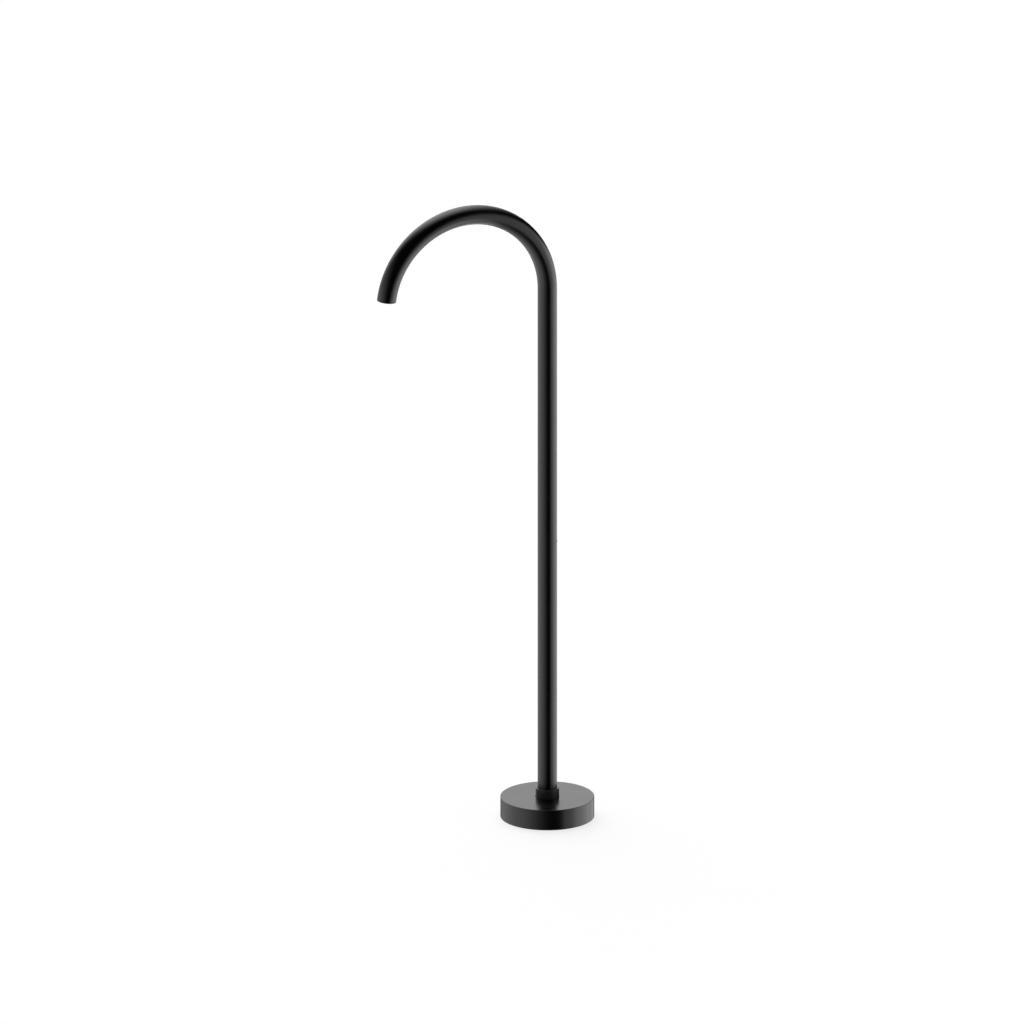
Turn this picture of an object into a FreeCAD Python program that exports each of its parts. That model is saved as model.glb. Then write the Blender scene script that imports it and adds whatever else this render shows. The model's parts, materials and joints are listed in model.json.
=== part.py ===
import FreeCAD, Part
import math
import os
import re

import Sketcher

# A floor standing bath filler: a bent spout tube that plugs into a socket on a floor flange, with a
# lift-up cover round its foot and an aerator in its outlet.
# The riser's axis is the Z axis, the floor is at z = 0 and the spout reaches towards -X.

# Driving dimensions, in millimetres, degrees and counts.
DRIVING_SIZES = {
    # spout tube
    "tube_od": 32.0,
    "tube_wall": 1.5,
    "bend_start_height": 916.0,
    "bend_radius": 147.0,
    "bend_sweep": 172.85,
    "outlet_edge_round": 0.5,
    # plug in the back of the riser
    "plug_height": 476.0,
    "plug_head_od": 8.0,
    "plug_head_recess": 0.7,
    "plug_head_proud": 0.35,
    "plug_stem_od": 5.0,
    "plug_stem_reach": 0.6,
    # floor flange and its gasket
    "gasket_thickness": 1.5,
    "gasket_opening": 42.0,
    "gasket_hole_margin": 0.5,
    "flange_od": 130.0,
    "flange_thickness": 6.0,
    "flange_edge_chamfer": 0.6,
    "bolt_circle": 104.0,
    "bolt_count": 4,
    "bolt_hole_od": 9.0,
    "levelling_screw_od": 6.0,
    "levelling_screw_length": 12.0,
    "levelling_hex_flats": 3.0,
    "levelling_hex_depth": 3.5,
    # floor socket
    "pilot_od": 33.8,
    "pilot_clearance": 0.1,
    "foot_od": 66.0,
    "foot_thickness": 6.0,
    "column_height": 22.5,
    "inlet_thread_bore": 18.6,
    "inlet_thread_depth": 13.0,
    "strainer_recess_od": 17.5,
    "strainer_recess_depth": 2.5,
    "waterway_bore": 15.0,
    "waterway_length": 2.5,
    "seal_bore": 24.0,
    "seal_bore_chamfer": 0.8,
    # cap screws between socket and flange
    "foot_screw_circle": 52.0,
    "foot_screw_count": 4,
    "foot_screw_od": 5.0,
    "foot_screw_length": 10.0,
    "foot_screw_hole_margin": 0.25,
    "foot_screw_head_od": 8.5,
    "foot_screw_head_height": 5.0,
    "foot_screw_hex_flats": 4.0,
    "foot_screw_hex_depth": 2.5,
    # strainer
    "strainer_clearance": 0.1,
    "strainer_rim": 1.5,
    "strainer_height": 2.3,
    "strainer_plate": 0.6,
    "strainer_hole_od": 1.8,
    "strainer_hole_pitch": 2.9,
    # spigot in the tube's foot
    "spigot_bore": 16.0,
    "spigot_running_clearance": 0.1,
    "spigot_floor_gap": 1.0,
    "spigot_nose_chamfer": 0.8,
    "neck_od": 28.0,
    "tube_insert_length": 25.0,
    "o_ring_section": 2.25,
    "o_ring_clearance": 0.05,
    "o_ring_groove_width": 3.2,
    "first_groove_setback": 2.8,
    "groove_spacing": 6.4,
    # rings that hold the spigot down
    "slip_ring_thickness": 1.0,
    "slip_ring_margin": 0.2,
    "split_ring_setback": 1.5,
    "split_ring_thickness": 2.0,
    "split_ring_groove_depth": 2.0,
    "split_ring_od": 33.8,
    "split_ring_gap": 3.0,
    "split_ring_margin": 0.1,
    "end_float": 0.05,
    # collar
    "collar_od": 39.0,
    "collar_edge_round": 0.4,
    "collar_thread_od": 36.0,
    "collar_thread_clearance": 0.05,
    "collar_skirt": 19.6,
    "collar_lip": 4.0,
    "collar_neck_clearance": 0.1,
    "collar_cup_depth": 4.4,
    "collar_cup_clearance": 0.3,
    "wiper_setback": 1.4,
    "wiper_groove_width": 2.0,
    "wiper_groove_depth": 1.3,
    "wiper_side_clearance": 0.05,
    "wiper_running_clearance": 0.05,
    "spanner_notch_count": 4,
    "spanner_notch_width": 5.0,
    "spanner_notch_depth": 4.0,
    "tube_seat_gap": 0.4,
    "lock_screw_od": 4.0,
    "lock_screw_setback": 7.0,
    "lock_screw_inset": 0.1,
    "lock_screw_bite": 1.75,
    "lock_hex_flats": 2.0,
    "lock_hex_depth": 1.6,
    # base cover
    "cover_od": 155.0,
    "cover_height": 34.5,
    "cover_wall": 1.5,
    "cover_edge_round": 0.6,
    "cover_bore_clearance": 0.4,
    "hub_wall": 3.1,
    "hub_depth": 7.0,
    "grip_ring_section": 1.8,
    "grip_ring_clearance": 0.05,
    "grip_groove_setback": 2.4,
    "grip_groove_margin": 0.15,
    # outlet
    "bush_recess": 1.0,
    "bush_length": 15.0,
    "bush_rim": 2.0,
    "outlet_thread_od": 24.0,
    "outlet_thread_depth": 10.5,
    "bush_waterway": 19.6,
    "aerator_clearance": 0.08,
    "aerator_length": 9.0,
    "aerator_key_count": 4,
    "aerator_key_width": 2.5,
    "aerator_key_depth": 1.2,
    "washer_margin": 0.25,
    "washer_width": 2.1,
    "insert_od": 20.4,
    "insert_length": 5.4,
    "insert_margin": 0.05,
    "insert_seat_width": 1.0,
    "insert_hole_od": 1.9,
    "insert_hole_pitch": 3.0,
    "screen_thickness": 0.3,
    "screen_rise": 1.2,
    "screen_rim": 0.8,
    "screen_margin": 0.1,
}

# Heights above the floor, from the floor up, as sums of the sizes.
FLANGE_BOTTOM = "gasket_thickness"
FOOT_BOTTOM = f"{FLANGE_BOTTOM} + flange_thickness"
FOOT_TOP = f"{FOOT_BOTTOM} + foot_thickness"
COLUMN_TOP = f"{FOOT_TOP} + column_height"
STRAINER_BOTTOM = f"{FLANGE_BOTTOM} + inlet_thread_depth"
SEAL_BORE_FLOOR = f"{STRAINER_BOTTOM} + strainer_recess_depth + waterway_length"
SPIGOT_BOTTOM = f"{SEAL_BORE_FLOOR} + spigot_floor_gap"
NECK_BOTTOM = f"{COLUMN_TOP} + slip_ring_thickness + end_float"
SPLIT_RING_BOTTOM = f"{NECK_BOTTOM} + split_ring_setback"
SPLIT_RING_TOP = f"{SPLIT_RING_BOTTOM} + split_ring_thickness"
LIP_BOTTOM = f"{SPLIT_RING_TOP} + slip_ring_thickness + end_float"
LIP_TOP = f"{LIP_BOTTOM} + collar_lip"
TUBE_FOOT = f"{LIP_TOP} + tube_seat_gap"
COLLAR_BOTTOM = f"{LIP_BOTTOM} - collar_skirt"
WIPER_BOTTOM = f"{LIP_TOP} + wiper_setback + wiper_side_clearance"
COVER_UNDERSIDE = "cover_height - cover_wall"
GRIP_RING_HEIGHT = f"{COVER_UNDERSIDE} - grip_groove_setback - grip_ring_section / 2 - grip_groove_margin"

# Radii that more than one piece needs.
GRIP_GROOVE_RADIUS = "collar_od / 2 + grip_ring_clearance + grip_ring_section"
O_RING_GROOVE_RADIUS = "seal_bore / 2 - o_ring_clearance - o_ring_section"
SPLIT_GROOVE_RADIUS = "neck_od / 2 - split_ring_groove_depth"
WIPER_GROOVE_RADIUS = "tube_od / 2 + collar_cup_clearance + wiper_groove_depth"
TUBE_BORE = "tube_od - 2 * tube_wall"

# The lock screw's axis above the floor and its two ends, measured from the riser's axis.
LOCK_SCREW_HEIGHT = f"{COLLAR_BOTTOM} + lock_screw_setback"
LOCK_SCREW_TIP = "collar_thread_od / 2 - lock_screw_bite"
LOCK_SCREW_LENGTH = f"collar_od / 2 - lock_screw_inset - ({LOCK_SCREW_TIP})"

# Half a step between the bolts, where the levelling screws stand.
BETWEEN_BOLTS = "180 / bolt_count"
BETWEEN_FOOT_SCREWS = "180 / foot_screw_count"

# The outlet's face: its centre, at the end of the bend.
OUTLET_X = "(bend_radius * cos(bend_sweep) - bend_radius)"
OUTLET_Z = "(bend_start_height + bend_radius * sin(bend_sweep))"

FULL_TURN = 360
SHAPE_TOLERANCE = 0.01

document = FreeCAD.newDocument("FloorBathFiller")
sheet = document.addObject("Spreadsheet::Sheet", "Sizes")
for row, (size_name, size_value) in enumerate(DRIVING_SIZES.items(), start=1):
    sheet.set(f"A{row}", size_name)
    sheet.set(f"B{row}", str(size_value))
    sheet.setAlias(f"B{row}", size_name)
document.recompute()

sub_parts = []


def in_sheet(text):
    """Writes 'tube_od / 2' as an expression of the sheet: 'Sizes.tube_od / 2'."""
    return re.sub(r"\b([a-z]+(?:_[a-z]+)+)\b", r"Sizes.\1", text)


def number(text):
    """The value of an expression of the sizes."""
    return float(sheet.evalExpression(in_sheet(text)))


def bind(thing, place, text):
    """Ties a property of an object to an expression of the sizes."""
    thing.setExpression(place, in_sheet(text))


def origin_feature(body, role):
    """One of the body's own origin planes or axes."""
    return next(feature for feature in body.Origin.OriginFeatures if feature.Role == role)


def new_body(label, height="0", turn="0"):
    """An empty sub-part at a height above the floor, turned about the riser's axis."""
    body = document.addObject("PartDesign::Body", label)
    body.Label = label
    bind(body, ".Placement.Base.z", height)
    bind(body, ".Placement.Rotation.Angle", turn)
    sub_parts.append(body)
    return body


def new_outlet_body(label, set_back):
    """An empty sub-part whose Z axis is the outlet's, pointing out of it, with its origin set back
    into the tube from the outlet's face."""
    body = new_body(label)
    body.Placement.Rotation = FreeCAD.Rotation(FreeCAD.Vector(0, -1, 0), 1)
    bind(body, ".Placement.Rotation.Angle", "bend_sweep")
    bind(body, ".Placement.Base.x", f"{OUTLET_X} + sin(bend_sweep) * ({set_back})")
    bind(body, ".Placement.Base.z", f"{OUTLET_Z} - cos(bend_sweep) * ({set_back})")
    return body


def new_radial_body(label, distance, height):
    """An empty sub-part whose Z axis points away from the riser, towards +X."""
    body = new_body(label, height)
    body.Placement.Rotation = FreeCAD.Rotation(FreeCAD.Vector(0, 1, 0), 1)
    bind(body, ".Placement.Rotation.Angle", "90")
    bind(body, ".Placement.Base.x", distance)
    return body


def new_sketch(body, name, role, out="0", along="0"):
    """An empty sketch on one of the body's origin planes, moved out of it and along its first axis."""
    sketch = body.newObject("Sketcher::SketchObject", name)
    sketch.AttachmentSupport = (origin_feature(body, role), "")
    sketch.MapMode = "FlatFace"
    bind(sketch, ".AttachmentOffset.Base.z", out)
    bind(sketch, ".AttachmentOffset.Base.x", along)
    return sketch


def dimension(sketch, kind, *where, to):
    """One dimension of a sketch, tied to the sizes."""
    index = sketch.addConstraint(Sketcher.Constraint(kind, *where, number(to)))
    bind(sketch, f"Constraints[{index}]", to)


def place_point(sketch, element, point, across, up):
    """Holds a point at its distances from the sketch's two axes, which are never negative."""
    for kind, axis, text in (("DistanceX", -2, across), ("DistanceY", -1, up)):
        if text == "0":
            sketch.addConstraint(Sketcher.Constraint("PointOnObject", element, point, axis))
        else:
            dimension(sketch, kind, -1, 1, element, point, to=text)


def draw_closed(sketch, points):
    """A closed run of straight lines through the points."""
    count = len(points)
    for index in range(count):
        sketch.addGeometry(Part.LineSegment(points[index], points[(index + 1) % count]))
    for index in range(count):
        sketch.addConstraint(Sketcher.Constraint("Coincident", index, 2, (index + 1) % count, 1))


def draw_outline(sketch, corners):
    """A closed outline, each corner given by its distances from the sketch's two axes."""
    draw_closed(sketch, [FreeCAD.Vector(number(across), number(up), 0) for across, up in corners])
    for index, (across, up) in enumerate(corners):
        place_point(sketch, index, 1, across, up)


def draw_circle(sketch, diameter, across="0", up="0"):
    """A circle with its centre at its distances from the sketch's two axes."""
    centre = FreeCAD.Vector(number(across), number(up), 0)
    circle = Part.Circle(centre, FreeCAD.Vector(0, 0, 1), number(diameter) / 2)
    element = sketch.addGeometry(circle)
    dimension(sketch, "Diameter", element, to=diameter)
    place_point(sketch, element, 3, across, up)


def draw_hexagon(sketch, flats):
    """A hexagon of a width across flats, on a construction circle through its corners."""
    radius = number(flats) / math.sqrt(3)
    turns = [math.radians(60 * index) for index in range(6)]
    draw_closed(sketch, [FreeCAD.Vector(radius * math.cos(a), radius * math.sin(a), 0) for a in turns])
    ring = sketch.addGeometry(Part.Circle(FreeCAD.Vector(0, 0, 0), FreeCAD.Vector(0, 0, 1), radius), True)
    sketch.addConstraint(Sketcher.Constraint("Coincident", ring, 3, -1, 1))
    dimension(sketch, "Radius", ring, to=f"{flats} / sqrt(3)")
    sketch.addConstraint(Sketcher.Constraint("PointOnObject", 0, 1, -1))
    for side in range(6):
        sketch.addConstraint(Sketcher.Constraint("PointOnObject", side, 1, ring))
    for side in range(1, 5):
        sketch.addConstraint(Sketcher.Constraint("Equal", 0, side))


def revolve(body, sketch):
    """A turned shape: the sketch spun about its own upright axis."""
    feature = body.newObject("PartDesign::Revolution", sketch.Name + "_turned")
    feature.Profile = sketch
    feature.ReferenceAxis = (sketch, ["V_Axis"])
    document.recompute()
    return feature


def turn_outline(body, corners, along="0"):
    """A turned shape from its half outline, as pairs of radius and height."""
    sketch = new_sketch(body, body.Name + "_outline", "XZ_Plane", along=along)
    draw_outline(sketch, corners)
    return revolve(body, sketch)


def turn_round_ring(body, radius, section):
    """A ring of round section, at the body's own height."""
    sketch = new_sketch(body, body.Name + "_section", "XZ_Plane")
    draw_circle(sketch, section, across=radius)
    return revolve(body, sketch)


def cut(body, sketch, depth=None, upwards=True):
    """Cuts a sketch's shape out of the body, right through or to a depth."""
    uncut = body.Shape.Volume
    pocket = body.newObject("PartDesign::Pocket", sketch.Name + "_cut")
    pocket.Profile = sketch
    pocket.Reversed = upwards
    if depth is None:
        pocket.Type = "ThroughAll"
    else:
        bind(pocket, "Length", depth)
    document.recompute()
    if not body.Shape.Volume < uncut - SHAPE_TOLERANCE:
        raise ValueError(f"{pocket.Name} cuts nothing")
    return pocket


def repeat(body, features, count):
    """Copies features round the body's Z axis."""
    pattern = body.newObject("PartDesign::PolarPattern", features[0].Name + "_ring")
    pattern.Originals = features
    pattern.Axis = (origin_feature(body, "Z_Axis"), [""])
    pattern.Angle = FULL_TURN
    bind(pattern, "Occurrences", count)
    body.Tip = pattern
    document.recompute()
    return pattern


def drill_ring(body, name, diameter, circle, count, start="0"):
    """Through holes on a circle, the first one turned by start from +X towards +Y."""
    sketch = new_sketch(body, name, "XY_Plane")
    if start == "0":
        draw_circle(sketch, diameter, across=f"{circle} / 2")
    else:
        draw_circle(sketch, diameter, f"{circle} / 2 * cos({start})", f"{circle} / 2 * sin({start})")
    repeat(body, [cut(body, sketch)], count)


def perforate(body, hole, pitch, rings):
    """A hole in the middle and rings of 6, 12, 18 holes round it, one pitch apart."""
    middle = new_sketch(body, body.Name + "_hole", "XY_Plane")
    draw_circle(middle, hole)
    cut(body, middle)
    for ring in range(1, rings + 1):
        drill_ring(body, f"{body.Name}_holes_{ring}", hole, f"2 * {ring} * {pitch}", str(6 * ring))


def drill_radially(body, name, diameter, height, reach):
    """A hole from the riser's axis outwards, on the +X side only."""
    sketch = new_sketch(body, name, "YZ_Plane")
    draw_circle(sketch, diameter, up=height)
    return cut(body, sketch, depth=reach)


def round_rim(body, diameter, centre, size):
    """Rounds the circular edges of one diameter round one centre, in the body's own frame."""
    base = body.Tip
    rims = []
    for index, edge in enumerate(base.Shape.Edges, start=1):
        if isinstance(edge.Curve, Part.Circle) and (edge.Curve.Center - centre).Length < SHAPE_TOLERANCE:
            if abs(2 * edge.Curve.Radius - number(diameter)) < SHAPE_TOLERANCE:
                rims.append(f"Edge{index}")
    fillet = body.newObject("PartDesign::Fillet", body.Name + "_round")
    fillet.Base = (base, rims)
    bind(fillet, "Radius", size)
    document.recompute()


def make_spout_tube():
    """Riser and gooseneck: one tube along an upright run and one arc."""
    body = new_body("spout_tube")
    route = new_sketch(body, "spout_route", "XZ_Plane")
    foot = FreeCAD.Vector(0, number(TUBE_FOOT), 0)
    bend_start = FreeCAD.Vector(0, number("bend_start_height"), 0)
    bend_centre = bend_start - FreeCAD.Vector(number("bend_radius"), 0, 0)
    bend = Part.Circle(bend_centre, FreeCAD.Vector(0, 0, 1), number("bend_radius"))
    route.addGeometry(Part.LineSegment(foot, bend_start))
    route.addGeometry(Part.ArcOfCircle(bend, 0, math.radians(number("bend_sweep"))))
    place_point(route, 0, 1, "0", TUBE_FOOT)
    place_point(route, 0, 2, "0", "bend_start_height")
    route.addConstraint(Sketcher.Constraint("Tangent", 0, 2, 1, 1))
    dimension(route, "Radius", 1, to="bend_radius")
    arc_angle = route.addConstraint(Sketcher.Constraint("Angle", 1, math.radians(number("bend_sweep"))))
    bind(route, f"Constraints[{arc_angle}]", "bend_sweep")
    wall = new_sketch(body, "spout_wall", "XY_Plane", out=TUBE_FOOT)
    draw_circle(wall, "tube_od")
    draw_circle(wall, TUBE_BORE)
    document.recompute()
    tube = body.newObject("PartDesign::AdditivePipe", "spout_sweep")
    tube.Profile = wall
    tube.Spine = (route, ["Edge1", "Edge2"])
    document.recompute()
    head_seat = new_sketch(body, "plug_head_seat", "YZ_Plane", out="tube_od / 2 - plug_head_recess")
    draw_circle(head_seat, "plug_head_od", up="plug_height")
    cut(body, head_seat, depth="tube_od / 2")
    drill_radially(body, "plug_hole", "plug_stem_od", "plug_height", "tube_od / 2")
    outlet = FreeCAD.Vector(number(OUTLET_X), 0, number(OUTLET_Z))
    round_rim(body, "tube_od", outlet, "outlet_edge_round")


def make_riser_plug():
    """Flush plug in the back of the riser: a flat head in a shallow seat, on a stem."""
    stem_start = "tube_od / 2 - tube_wall - plug_stem_reach"
    stem_length = "tube_wall + plug_stem_reach - plug_head_recess"
    body = new_radial_body("riser_plug", stem_start, "plug_height")
    turn_outline(body, [
        ("0", "0"),
        ("plug_stem_od / 2", "0"),
        ("plug_stem_od / 2", stem_length),
        ("plug_head_od / 2", stem_length),
        ("plug_head_od / 2", f"{stem_length} + plug_head_recess + plug_head_proud"),
        ("0", f"{stem_length} + plug_head_recess + plug_head_proud"),
    ])


def make_floor_gasket():
    """Flat seal under the flange, with an opening for the supply and holes for every screw."""
    body = new_body("floor_gasket")
    turn_outline(body, [
        ("gasket_opening / 2", "0"),
        ("flange_od / 2", "0"),
        ("flange_od / 2", "gasket_thickness"),
        ("gasket_opening / 2", "gasket_thickness"),
    ])
    drill_ring(body, "gasket_bolt_hole", "bolt_hole_od", "bolt_circle", "bolt_count")
    levelling_hole = "(levelling_screw_od + 2 * gasket_hole_margin)"
    drill_ring(body, "gasket_screw_hole", levelling_hole, "bolt_circle", "bolt_count", BETWEEN_BOLTS)


def make_floor_flange():
    """Round plate bolted to the floor, which carries the socket and the levelling screws."""
    body = new_body("floor_flange", FLANGE_BOTTOM)
    turn_outline(body, [
        ("pilot_od / 2 + pilot_clearance", "0"),
        ("flange_od / 2", "0"),
        ("flange_od / 2", "flange_thickness - flange_edge_chamfer"),
        ("flange_od / 2 - flange_edge_chamfer", "flange_thickness"),
        ("pilot_od / 2 + pilot_clearance", "flange_thickness"),
    ])
    drill_ring(body, "bolt_hole", "bolt_hole_od", "bolt_circle", "bolt_count")
    drill_ring(body, "levelling_hole", "levelling_screw_od", "bolt_circle", "bolt_count", BETWEEN_BOLTS)
    drill_ring(body, "tapped_hole", "foot_screw_od", "foot_screw_circle", "foot_screw_count",
               BETWEEN_FOOT_SCREWS)


def make_screw_ring(label, height, turn, circle, count, corners, drive_height, drive_flats, drive_depth):
    """A ring of upright screws, each turned to an outline, with a hexagon socket in its top."""
    body = new_body(label, height, turn)
    shank = turn_outline(body, corners, along=f"{circle} / 2")
    drive = new_sketch(body, label + "_drive", "XY_Plane", out=drive_height, along=f"{circle} / 2")
    draw_hexagon(drive, drive_flats)
    socket = cut(body, drive, depth=drive_depth, upwards=False)
    repeat(body, [shank, socket], count)


def make_levelling_screws():
    """Grub screws that stand on the floor and set the flange level."""
    corners = [
        ("0", "0"),
        ("levelling_screw_od / 2", "0"),
        ("levelling_screw_od / 2", "levelling_screw_length"),
        ("0", "levelling_screw_length"),
    ]
    make_screw_ring("levelling_screws", "0", BETWEEN_BOLTS, "bolt_circle", "bolt_count", corners,
                    "levelling_screw_length", "levelling_hex_flats", "levelling_hex_depth")


def make_socket_screws():
    """Cap screws through the socket's foot into the flange."""
    head_top = "foot_screw_length + foot_screw_head_height"
    corners = [
        ("0", "0"),
        ("foot_screw_od / 2", "0"),
        ("foot_screw_od / 2", "foot_screw_length"),
        ("foot_screw_head_od / 2", "foot_screw_length"),
        ("foot_screw_head_od / 2", head_top),
        ("0", head_top),
    ]
    make_screw_ring("socket_screws", f"{FOOT_TOP} - foot_screw_length", BETWEEN_FOOT_SCREWS,
                    "foot_screw_circle", "foot_screw_count", corners,
                    head_top, "foot_screw_hex_flats", "foot_screw_hex_depth")


def make_floor_socket():
    """Turned socket: a pilot in the flange, a screwed-down foot and a threaded column. Inside it are
    the inlet's thread, the strainer's recess, the waterway and the bore that the spigot seals in."""
    body = new_body("floor_socket", FLANGE_BOTTOM)
    foot_bottom = "flange_thickness"
    foot_top = f"{foot_bottom} + foot_thickness"
    column_top = f"{foot_top} + column_height"
    strainer_top = "inlet_thread_depth + strainer_recess_depth"
    bore_floor = f"{strainer_top} + waterway_length"
    column_radius = "collar_thread_od / 2 - collar_thread_clearance"
    turn_outline(body, [
        ("inlet_thread_bore / 2", "0"),
        ("pilot_od / 2", "0"),
        ("pilot_od / 2", foot_bottom),
        ("foot_od / 2", foot_bottom),
        ("foot_od / 2", foot_top),
        (column_radius, foot_top),
        (column_radius, column_top),
        ("seal_bore / 2 + seal_bore_chamfer", column_top),
        ("seal_bore / 2", f"{column_top} - seal_bore_chamfer"),
        ("seal_bore / 2", bore_floor),
        ("waterway_bore / 2", bore_floor),
        ("waterway_bore / 2", strainer_top),
        ("strainer_recess_od / 2", strainer_top),
        ("strainer_recess_od / 2", "inlet_thread_depth"),
        ("inlet_thread_bore / 2", "inlet_thread_depth"),
    ])
    drill_ring(body, "foot_hole", "(foot_screw_od + 2 * foot_screw_hole_margin)", "foot_screw_circle",
               "foot_screw_count", BETWEEN_FOOT_SCREWS)
    dimple = new_sketch(body, "lock_screw_dimple", "YZ_Plane", out=LOCK_SCREW_TIP)
    draw_circle(dimple, "lock_screw_od", up=f"{LOCK_SCREW_HEIGHT} - ({FLANGE_BOTTOM})")
    cut(body, dimple, depth="collar_od / 2")


def make_inlet_strainer():
    """Sieve above the inlet's thread: a rim round a thin plate full of holes."""
    body = new_body("inlet_strainer", STRAINER_BOTTOM)
    outside = "strainer_recess_od / 2 - strainer_clearance"
    turn_outline(body, [
        ("0", "0"),
        (outside, "0"),
        (outside, "strainer_height"),
        (f"{outside} - strainer_rim", "strainer_height"),
        (f"{outside} - strainer_rim", "strainer_plate"),
        ("0", "strainer_plate"),
    ])
    perforate(body, "strainer_hole_od", "strainer_hole_pitch", rings=2)


def make_spout_spigot():
    """Turned plug in the tube's foot: a nose with two seal grooves, a neck with the split ring's
    groove, and the length that the tube is brazed on to."""
    body = new_body("spout_spigot", SPIGOT_BOTTOM)
    nose = "seal_bore / 2 - spigot_running_clearance"
    neck_bottom = f"{NECK_BOTTOM} - ({SPIGOT_BOTTOM})"
    ring_bottom = f"{SPLIT_RING_BOTTOM} - ({SPIGOT_BOTTOM})"
    ring_top = f"{SPLIT_RING_TOP} - ({SPIGOT_BOTTOM})"
    tube_foot = f"{TUBE_FOOT} - ({SPIGOT_BOTTOM})"
    corners = [
        ("spigot_bore / 2", "0"),
        (f"{nose} - spigot_nose_chamfer", "0"),
        (nose, "spigot_nose_chamfer"),
    ]
    for groove in range(2):
        groove_bottom = f"first_groove_setback + {groove} * groove_spacing"
        groove_top = f"{groove_bottom} + o_ring_groove_width"
        corners += [
            (nose, groove_bottom),
            (O_RING_GROOVE_RADIUS, groove_bottom),
            (O_RING_GROOVE_RADIUS, groove_top),
            (nose, groove_top),
        ]
    corners += [
        (nose, neck_bottom),
        ("neck_od / 2", neck_bottom),
        ("neck_od / 2", ring_bottom),
        (SPLIT_GROOVE_RADIUS, ring_bottom),
        (SPLIT_GROOVE_RADIUS, ring_top),
        ("neck_od / 2", ring_top),
        ("neck_od / 2", tube_foot),
        (f"({TUBE_BORE}) / 2", tube_foot),
        (f"({TUBE_BORE}) / 2", f"{tube_foot} + tube_insert_length"),
        ("spigot_bore / 2", f"{tube_foot} + tube_insert_length"),
    ]
    turn_outline(body, corners)


def make_spigot_o_rings():
    """The two seals in the spigot's grooves."""
    for groove, label in enumerate(("spigot_o_ring_lower", "spigot_o_ring_upper")):
        setback = f"first_groove_setback + {groove} * groove_spacing"
        body = new_body(label, f"{SPIGOT_BOTTOM} + {setback} + o_ring_groove_width / 2")
        turn_round_ring(body, f"{O_RING_GROOVE_RADIUS} + o_ring_section / 2", "o_ring_section")


def make_flat_ring(label, height, inside, outside, thickness):
    """A flat ring from its two radii and its thickness."""
    body = new_body(label, height)
    turn_outline(body, [(inside, "0"), (outside, "0"), (outside, thickness), (inside, thickness)])
    return body


def make_slip_rings():
    """Plastic rings that the spigot and the split ring turn against."""
    outside = "collar_thread_od / 2 - slip_ring_margin"
    make_flat_ring("slip_ring_lower", COLUMN_TOP, "seal_bore / 2 + slip_ring_margin", outside,
                   "slip_ring_thickness")
    make_flat_ring("slip_ring_upper", SPLIT_RING_TOP, "neck_od / 2 + slip_ring_margin", outside,
                   "slip_ring_thickness")


def make_split_ring():
    """C-shaped ring that snaps into the spigot's groove."""
    body = make_flat_ring("split_ring", SPLIT_RING_BOTTOM, f"{SPLIT_GROOVE_RADIUS} + split_ring_margin",
                          "split_ring_od / 2", "split_ring_thickness")
    gap = new_sketch(body, "split_ring_opening", "XY_Plane")
    draw_outline(gap, [("0", "0"), ("split_ring_od", "0"), ("split_ring_od", "split_ring_gap"),
                       ("0", "split_ring_gap")])
    cut(body, gap)


def make_swivel_collar():
    """Collar screwed over the socket's column. Its lip holds the split ring down, and its cup takes
    the tube's foot and the wiper ring."""
    body = new_body("swivel_collar", COLLAR_BOTTOM)
    thread = "collar_thread_od / 2"
    lip = "neck_od / 2 + collar_neck_clearance"
    cup = "tube_od / 2 + collar_cup_clearance"
    cup_floor = "collar_skirt + collar_lip"
    groove_bottom = f"{cup_floor} + wiper_setback"
    groove_top = f"{groove_bottom} + wiper_groove_width"
    collar_top = f"{cup_floor} + collar_cup_depth"
    turn_outline(body, [
        (thread, "0"),
        ("collar_od / 2", "0"),
        ("collar_od / 2", collar_top),
        (cup, collar_top),
        (cup, groove_top),
        (WIPER_GROOVE_RADIUS, groove_top),
        (WIPER_GROOVE_RADIUS, groove_bottom),
        (cup, groove_bottom),
        (cup, cup_floor),
        (lip, cup_floor),
        (lip, "collar_skirt"),
        (thread, "collar_skirt"),
    ])
    top_centre = FreeCAD.Vector(0, 0, number(collar_top))
    round_rim(body, "collar_od", top_centre, "collar_edge_round")
    notch = new_sketch(body, "spanner_notch", "XY_Plane")
    draw_outline(notch, [("0", "0"), ("collar_od", "0"), ("collar_od", "spanner_notch_width"),
                         ("0", "spanner_notch_width")])
    repeat(body, [cut(body, notch, depth="spanner_notch_depth")], "spanner_notch_count")
    drill_radially(body, "lock_screw_hole", "lock_screw_od", "lock_screw_setback", "collar_od")


def make_collar_wiper_ring():
    """Ring in the collar's cup that keeps splashed water out."""
    make_flat_ring("collar_wiper_ring", WIPER_BOTTOM, "tube_od / 2 + wiper_running_clearance",
                   WIPER_GROOVE_RADIUS, "wiper_groove_width - 2 * wiper_side_clearance")


def make_collar_lock_screw():
    """Grub screw at the back that stops the collar from working loose."""
    body = new_radial_body("collar_lock_screw", LOCK_SCREW_TIP, LOCK_SCREW_HEIGHT)
    turn_outline(body, [
        ("0", "0"),
        ("lock_screw_od / 2", "0"),
        ("lock_screw_od / 2", LOCK_SCREW_LENGTH),
        ("0", LOCK_SCREW_LENGTH),
    ])
    drive = new_sketch(body, "lock_screw_drive", "XY_Plane", out=LOCK_SCREW_LENGTH)
    draw_hexagon(drive, "lock_hex_flats")
    cut(body, drive, depth="lock_hex_depth", upwards=False)


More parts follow.
